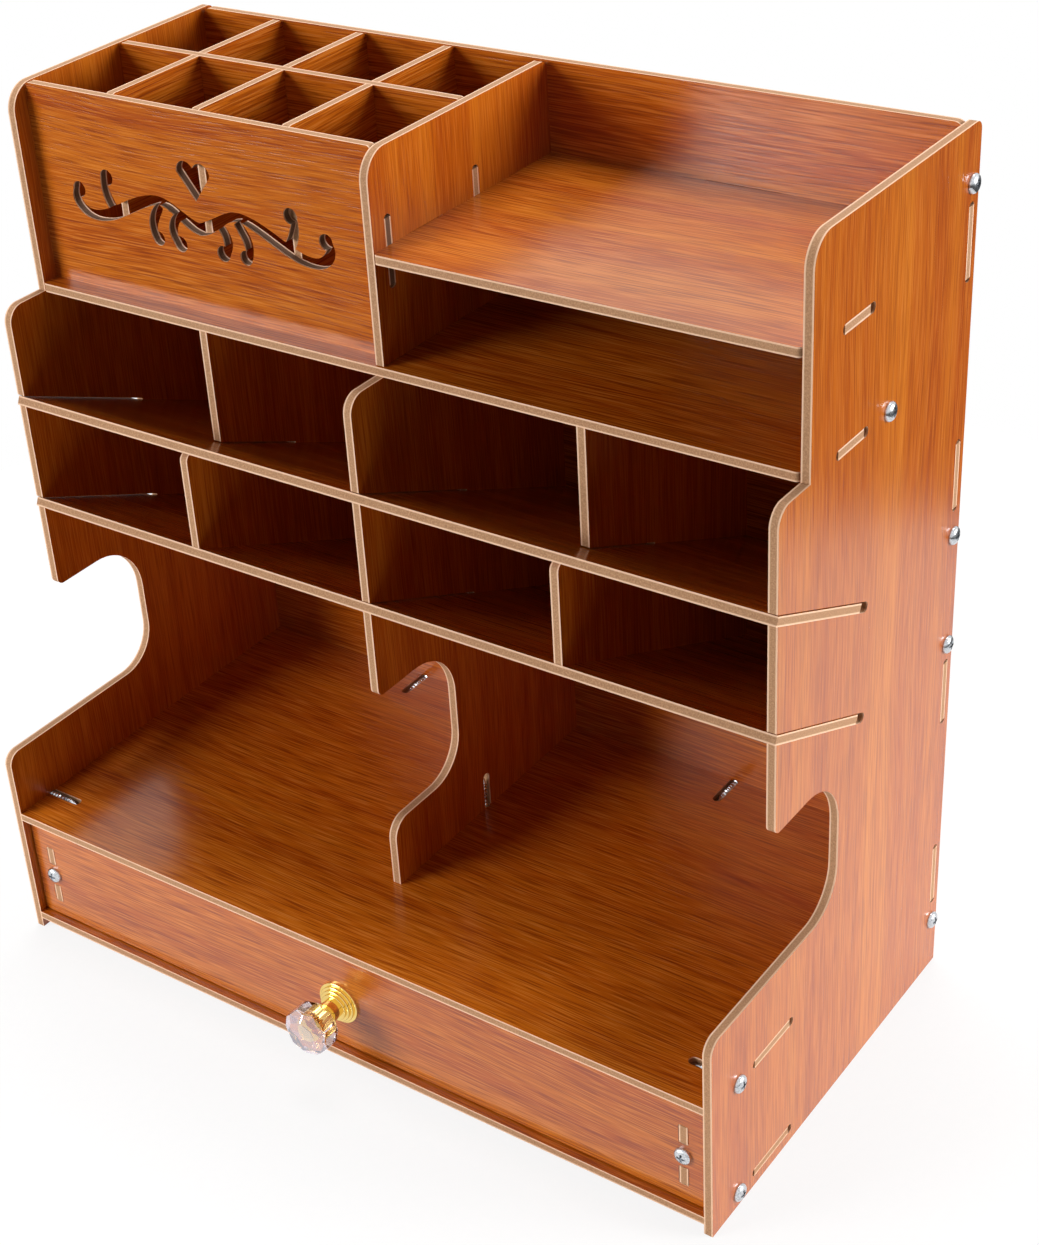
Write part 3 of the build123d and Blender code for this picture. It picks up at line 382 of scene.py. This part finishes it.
def screw_tree():
    """Pan head screws with a cross recess and a real thread, one at each point, along its attribute axis.

    The seat of the head is at the point, and the head is on the side that the axis points to."""
    tree = bpy.data.node_groups.new("pan_head_screws", "GeometryNodeTree")
    tree.is_modifier = True
    tree.interface.new_socket("Points", in_out="INPUT", socket_type="NodeSocketGeometry")
    for name in (
        "Head radius", "Head height", "Head rim", "Recess length", "Recess width", "Recess depth",
        "Thread root", "Thread proud", "Thread pitch", "Length", "Tip",
    ):
        tree.interface.new_socket(name, in_out="INPUT", socket_type="NodeSocketFloat")
    tree.interface.new_socket("Finish", in_out="INPUT", socket_type="NodeSocketMaterial")
    tree.interface.new_socket("Screws", in_out="OUTPUT", socket_type="NodeSocketGeometry")
    given = tree.nodes.new("NodeGroupInput").outputs

    def lifted(geometry, z):
        """Geometry moved along the screw's axis."""
        offset = add_node(tree, "ShaderNodeCombineXYZ", None, {"Z": z}).outputs[0]
        moved = add_node(tree, "GeometryNodeTransform", None, {"Geometry": geometry, "Translation": offset})
        return moved.outputs["Geometry"]

    # The head: a cylinder whose top is raised to a low dome
    disc_inputs = {
        "Vertices": 36, "Side Segments": 1, "Fill Segments": 7,
        "Radius": given["Head radius"], "Depth": given["Head rim"],
    }
    disc = add_node(tree, "GeometryNodeMeshCylinder", None, disc_inputs)
    position = tree.nodes.new("GeometryNodeInputPosition").outputs[0]
    split = add_node(tree, "ShaderNodeSeparateXYZ", None, {0: position})
    flat_inputs = {"X": split.outputs["X"], "Y": split.outputs["Y"]}
    flat = add_node(tree, "ShaderNodeCombineXYZ", None, flat_inputs)
    length = add_node(tree, "ShaderNodeVectorMath", {"operation": "LENGTH"}, {0: flat.outputs[0]})
    share = math_of(tree, "DIVIDE", length.outputs["Value"], given["Head radius"])
    share_squared = math_of(tree, "MULTIPLY", share, share)
    fall = math_of(tree, "SUBTRACT", 1.0, math_of(tree, "MULTIPLY", share_squared, 0.99))
    crown = math_of(tree, "SUBTRACT", given["Head height"], given["Head rim"])
    dome = math_of(tree, "MULTIPLY_ADD", math_of(tree, "SQRT", fall), crown, given["Head rim"])
    is_top = math_of(tree, "GREATER_THAN", split.outputs["Z"], 0.0)
    place_z = math_of(tree, "MULTIPLY", is_top, dome)
    place_inputs = {0: split.outputs["X"], 1: split.outputs["Y"], 2: place_z}
    place = add_node(tree, "ShaderNodeCombineXYZ", None, place_inputs)
    head_inputs = {"Geometry": disc.outputs["Mesh"], "Position": place.outputs[0]}
    head = add_node(tree, "GeometryNodeSetPosition", None, head_inputs)

    # The cross recess, cut from the top
    bars = []
    for first, second in (("Recess length", "Recess width"), ("Recess width", "Recess length")):
        deep = math_of(tree, "MULTIPLY", given["Recess depth"], 2.0)
        size = add_node(tree, "ShaderNodeCombineXYZ", None, {0: given[first], 1: given[second], 2: deep})
        bar = add_node(tree, "GeometryNodeMeshCube", None, {"Size": size.outputs[0]})
        bars.append(lifted(bar.outputs["Mesh"], given["Head height"]))
    cut_inputs = {"Mesh 1": head.outputs["Geometry"], "Mesh 2": bars}
    cut = add_node(tree, "GeometryNodeMeshBoolean", {"operation": "DIFFERENCE"}, cut_inputs)

    # The shank, its point and the thread wound on it
    long = math_of(tree, "SUBTRACT", given["Length"], given["Tip"])
    rod_inputs = {"Vertices": 20, "Radius": given["Thread root"], "Depth": long}
    rod = add_node(tree, "GeometryNodeMeshCylinder", None, rod_inputs)
    rod_at = lifted(rod.outputs["Mesh"], math_of(tree, "MULTIPLY", long, -0.5))
    cone_inputs = {
        "Vertices": 20, "Radius Top": given["Thread root"], "Radius Bottom": TIP_R, "Depth": given["Tip"],
    }
    cone = add_node(tree, "GeometryNodeMeshCone", None, cone_inputs)
    cone_at = lifted(cone.outputs["Mesh"], math_of(tree, "MULTIPLY", given["Length"], -1.0))
    turns = math_of(tree, "SUBTRACT", math_of(tree, "DIVIDE", long, given["Thread pitch"]), 1.0)
    high = math_of(tree, "MULTIPLY", turns, given["Thread pitch"])
    wind_inputs = {
        "Resolution": 20, "Rotations": turns, "Height": high,
        "Start Radius": given["Thread root"], "End Radius": given["Thread root"],
    }
    wind = add_node(tree, "GeometryNodeCurveSpiral", None, wind_inputs)
    ridge_inputs = {"Resolution": 4, "Radius": given["Thread proud"]}
    ridge = add_node(tree, "GeometryNodeCurvePrimitiveCircle", None, ridge_inputs)
    thread_inputs = {
        "Curve": wind.outputs["Curve"], "Profile Curve": ridge.outputs["Curve"], "Fill Caps": True,
    }
    thread = add_node(tree, "GeometryNodeCurveToMesh", None, thread_inputs)
    thread_at = lifted(thread.outputs["Mesh"], math_of(tree, "MULTIPLY", long, -1.0))

    parts = [cut.outputs["Mesh"], rod_at, cone_at, thread_at]
    whole = add_node(tree, "GeometryNodeJoinGeometry", None, {"Geometry": parts})
    axis_settings = {"data_type": "FLOAT_VECTOR"}
    axis = add_node(tree, "GeometryNodeInputNamedAttribute", axis_settings, {"Name": "axis"})
    turn_inputs = {"Vector": axis.outputs["Attribute"]}
    turn = add_node(tree, "FunctionNodeAlignRotationToVector", {"axis": "Z"}, turn_inputs)
    set_inputs = {
        "Points": given["Points"], "Instance": whole.outputs["Geometry"],
        "Rotation": turn.outputs["Rotation"],
    }
    placed = add_node(tree, "GeometryNodeInstanceOnPoints", None, set_inputs)
    real = add_node(tree, "GeometryNodeRealizeInstances", None, {"Geometry": placed.outputs["Instances"]})
    finish_inputs = {"Geometry": real.outputs["Geometry"], "Material": given["Finish"]}
    finished = add_node(tree, "GeometryNodeSetMaterial", None, finish_inputs)
    add_node(tree, "NodeGroupOutput", None, {"Screws": finished.outputs["Geometry"]})
    return tree


def separate_solids(node_name):
    """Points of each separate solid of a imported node."""
    work = bmesh.new()
    work.from_mesh(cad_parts[node_name].data)
    bmesh.ops.remove_doubles(work, verts=work.verts, dist=SAME_POINT)
    left = set(work.verts)
    solids = []
    while left:
        reached = [left.pop()]
        for vertex in reached:
            for edge in vertex.link_edges:
                other = edge.other_vert(vertex)
                if other in left:
                    left.remove(other)
                    reached.append(other)
        solids.append(np.array([vertex.co for vertex in reached]))
    work.free()
    return solids


def screw_place(points):
    """Seat of a screw's head, and the way that the head points."""
    low, high = points.min(axis=0), points.max(axis=0)
    way = int(np.argmax(high - low))
    middle = (low + high) / 2
    near_low = points[points[:, way] < low[way] + HEAD_RIM]
    near_high = points[points[:, way] > high[way] - HEAD_RIM]
    head_is_high = np.ptp(near_high, axis=0).max() > np.ptp(near_low, axis=0).max()
    axis = np.zeros(3)
    axis[way] = 1.0 if head_is_high else -1.0
    middle[way] = (high if head_is_high else low)[way] - axis[way] * HEAD_HIGH
    return middle, axis


def add_object(name, data):
    """Object in the scene with this mesh, light or camera."""
    made = bpy.data.objects.new(name, data)
    bpy.context.scene.collection.objects.link(made)
    return made


def screws(name, node_names, body, tree):
    """All screws of one body as one mesh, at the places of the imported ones."""
    places = [screw_place(points) for node_name in node_names for points in separate_solids(node_name)]
    mesh = bpy.data.meshes.new(name)
    mesh.from_pydata([tuple(seat) for seat, axis in places], [], [])
    axes = mesh.attributes.new("axis", "FLOAT_VECTOR", "POINT")
    for k, (seat, axis) in enumerate(places):
        axes.data[k].vector = axis
    made = add_object(name, mesh)
    modifier = made.modifiers.new("screws", "NODES")
    modifier.node_group = tree
    sizes = {
        "Head radius": HEAD_R, "Head height": HEAD_HIGH, "Head rim": HEAD_RIM,
        "Recess length": RECESS_LONG, "Recess width": RECESS_WIDE, "Recess depth": RECESS_DEEP,
        "Thread root": THREAD_ROOT, "Thread proud": THREAD_PROUD, "Thread pitch": THREAD_PITCH,
        "Length": SCREW_LENGTH, "Tip": SCREW_TIP, "Finish": zinc,
    }
    for item in tree.interface.items_tree:
        if item.name in sizes:
            modifier[item.identifier] = sizes[item.name]
    seen_by = bpy.context.evaluated_depsgraph_get()
    result = bpy.data.meshes.new_from_object(made.evaluated_get(seen_by))
    made.modifiers.clear()
    made.data = result
    result.shade_smooth()
    result.set_sharp_from_angle(angle=math.radians(38))
    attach(made, body)
    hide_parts(*node_names)


pan_heads = screw_tree()
carcass_screws = ("side_screws_left", "side_screws_right", "back_screws", "foot_screw")
screws("carcass_screws", carcass_screws, "carcass", pan_heads)
screws("drawer_front_screws", ("drawer_screws",), "drawer", pan_heads)


def rounded_steps():
    """Flange and neck as (radius, distance from the drawer) in mm, with rounded outer corners."""
    points = [(0.0, 0.0)]
    at = 0.0
    for radius, thick in FLANGE_STEPS:
        points.append((radius, at))
        at += thick
        for k in range(STEP_POINTS):
            turn = math.radians(90 / (STEP_POINTS - 1) * k)
            swing = radius - STEP_ROUND + STEP_ROUND * math.cos(turn)
            points.append((swing, at - STEP_ROUND + STEP_ROUND * math.sin(turn)))
    end = (flange_high.y - flange_low.y) / MM
    for k in range(NECK_POINTS + 1):
        share = k / NECK_POINTS
        flare = share**3
        points.append((NECK_R + (NECK_END_R - NECK_R) * flare, at + (end - at) * share))
    points.append((0.0, end))
    return points


def turned(name, profile, centre, back_y, material, sides=72):
    """Solid of revolution about the knob's axis, which points to the front."""
    work = bmesh.new()
    rings = []
    for radius, out in profile:
        y = back_y - out * MM
        if radius == 0:
            rings.append([work.verts.new((centre[0], y, centre[1]))])
            continue
        ring = []
        for k in range(sides):
            turn = 2 * math.pi * k / sides
            x = centre[0] + radius * MM * math.cos(turn)
            z = centre[1] + radius * MM * math.sin(turn)
            ring.append(work.verts.new((x, y, z)))
        rings.append(ring)
    for lower, upper in zip(rings, rings[1:]):
        for k in range(sides):
            near = [lower[k % len(lower)], lower[(k + 1) % len(lower)]]
            far = [upper[(k + 1) % len(upper)], upper[k % len(upper)]]
            work.faces.new(list(dict.fromkeys(near + far)))
    bmesh.ops.recalc_face_normals(work, faces=work.faces)
    mesh = bpy.data.meshes.new(name)
    work.to_mesh(mesh)
    work.free()
    mesh.shade_smooth()
    mesh.set_sharp_from_angle(angle=math.radians(40))
    mesh.materials.append(material)
    return add_object(name, mesh)


flange_low, flange_high = [Vector(corner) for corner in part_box("knob_flange")]
flange_middle = (flange_low + flange_high) / 2
flange_centre = (flange_middle.x, flange_middle.z)
flange = turned("turned_flange", rounded_steps(), flange_centre, flange_high.y, gold)
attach(flange, "drawer")
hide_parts("knob_flange")


def cut_crystal():
    """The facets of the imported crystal, with polished edges and the glass closed round its gold insert."""
    work = bmesh.new()
    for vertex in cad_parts["knob_crystal"].data.vertices:
        work.verts.new(vertex.co)
    bmesh.ops.remove_doubles(work, verts=work.verts, dist=SAME_POINT)
    hull = bmesh.ops.convex_hull(work, input=work.verts)
    spare = hull["geom_interior"] + hull["geom_unused"]
    inner = {item for item in spare if isinstance(item, bmesh.types.BMVert)}
    bmesh.ops.delete(work, geom=list(inner), context="VERTS")
    bmesh.ops.dissolve_limit(work, angle_limit=math.radians(1), verts=work.verts, edges=work.edges)
    bmesh.ops.bevel(work, geom=work.edges, offset=POLISH, segments=1, affect="EDGES")
    bmesh.ops.recalc_face_normals(work, faces=work.faces)
    mesh = bpy.data.meshes.new("cut_crystal")
    work.to_mesh(mesh)
    work.free()
    mesh.materials.append(crystal)
    return add_object("cut_crystal", mesh)


glass = cut_crystal()
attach(glass, "drawer")
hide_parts("knob_crystal")


# Studio: a round white table in a white surround, with soft lights from the front left, from above and from
# the right. In gloss the surround is white only above the table's height, so that upright faces have
# something dark to reflect
WHITE = (1, 1, 1, 1)
TABLE_R = 0.46
TABLE_SIDES = 96
TABLE_WHITE = 0.85
SURROUND = 0.08
FRONT_LIGHT_AT = Vector((-0.90, -1.20, 0.60))
FRONT_LIGHT_SIZE = 0.9
FRONT_LIGHT_POWER = 26.5
TOP_LIGHT_AT = Vector((-0.25, 0.50, 1.6))
TOP_LIGHT_SIZE = 1.0
TOP_LIGHT_POWER = 23.0
SIDE_LIGHT_AT = Vector((1.70, 0.75, 0.60))
SIDE_LIGHT_SIZE = 0.9
SIDE_LIGHT_POWER = 45.0
AIM = Vector((0, 0, 0.13))


def table_material():
    """Matt white paper. It shows as white round the object and keeps a light shadow."""
    made, tree, shader = new_material("white_paper")
    place = tree.nodes.new("ShaderNodeTexCoord").outputs["Object"]
    fine = add_node(tree, "ShaderNodeTexNoise", None, {"Vector": place, "Scale": 300.0, "Detail": 2.0})
    colour = ramp_of(tree, fine.outputs["Fac"], ((0.3, "#f2f2f2"), (0.7, "#f7f7f7")))
    tree.links.new(colour, shader.inputs["Base Color"])
    shader.inputs["Roughness"].default_value = 0.9
    rays = tree.nodes.new("ShaderNodeLightPath").outputs
    seen = math_of(tree, "MAXIMUM", rays["Is Camera Ray"], rays["Is Transmission Ray"])
    seen = math_of(tree, "MAXIMUM", seen, rays["Is Glossy Ray"])
    share = math_of(tree, "MULTIPLY", seen, TABLE_WHITE)
    glow = add_node(tree, "ShaderNodeEmission", None, {"Color": WHITE, "Strength": 1.0})
    both_inputs = {0: share, 1: shader.outputs[0], 2: glow.outputs[0]}
    both = add_node(tree, "ShaderNodeMixShader", None, both_inputs)
    tree.links.new(both.outputs[0], tree.nodes["Material Output"].inputs["Surface"])
    return made


def table():
    """Round table top, one face at the height of the base."""
    mesh = bpy.data.meshes.new("table")
    turns = [2 * math.pi * k / TABLE_SIDES for k in range(TABLE_SIDES)]
    rim = [(TABLE_R * math.cos(turn), TABLE_R * math.sin(turn), 0) for turn in turns]
    mesh.from_pydata(rim, [], [tuple(range(TABLE_SIDES))])
    mesh.materials.append(table_material())
    return add_object("table", mesh)


def surround():
    """World that lights a little from all sides and shows white behind the object and in its gloss."""
    world = bpy.data.worlds.new("studio")
    bpy.context.scene.world = world
    world.use_nodes = True
    tree = world.node_tree
    rays = tree.nodes.new("ShaderNodeLightPath").outputs
    way = tree.nodes.new("ShaderNodeTexCoord").outputs["Generated"]
    up = add_node(tree, "ShaderNodeSeparateXYZ", None, {0: way}).outputs["Z"]
    above = step_of(tree, up, -0.1, 0.1)
    seen = math_of(tree, "MAXIMUM", rays["Is Camera Ray"], rays["Is Transmission Ray"])
    seen = math_of(tree, "MAXIMUM", seen, math_of(tree, "MULTIPLY", rays["Is Glossy Ray"], above))
    strength = math_of(tree, "MULTIPLY_ADD", seen, 1.0 - SURROUND, SURROUND)
    tree.nodes["Background"].inputs["Color"].default_value = WHITE
    tree.links.new(strength, tree.nodes["Background"].inputs["Strength"])


def soft_light(name, at, size, power):
    """Round area light that points at the object."""
    data = bpy.data.lights.new(name, "AREA")
    data.shape = "DISK"
    data.size = size
    data.energy = power
    made = add_object(name, data)
    made.location = at
    made.rotation_euler = (AIM - at).to_track_quat("-Z", "Y").to_euler()


table()
surround()
soft_light("front_light", FRONT_LIGHT_AT, FRONT_LIGHT_SIZE, FRONT_LIGHT_POWER)
soft_light("top_light", TOP_LIGHT_AT, TOP_LIGHT_SIZE, TOP_LIGHT_POWER)
soft_light("side_light", SIDE_LIGHT_AT, SIDE_LIGHT_SIZE, SIDE_LIGHT_POWER)

# Camera, as the photograph was taken
side_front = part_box("right_side_panel")[0][1]
lens = bpy.data.cameras.new("camera")
camera = add_object("camera", lens)
bpy.context.scene.camera = camera
lens.sensor_width = SENSOR_WIDE
lens.lens = FOCAL_PIXELS / PHOTO_HIGH * SENSOR_WIDE
lens.shift_x = (PHOTO_WIDE / 2 - CENTRE_ACROSS) / PHOTO_HIGH
lens.shift_y = (CENTRE_DOWN - PHOTO_HIGH / 2) / PHOTO_HIGH
lens.clip_start = NEAREST
lens.clip_end = FARTHEST
camera.location = Vector(CAMERA_AT) + Vector((0, side_front, 0))
camera.rotation_euler = [math.radians(turn) for turn in CAMERA_TURN]
bpy.context.scene.view_settings.view_transform = "Standard"
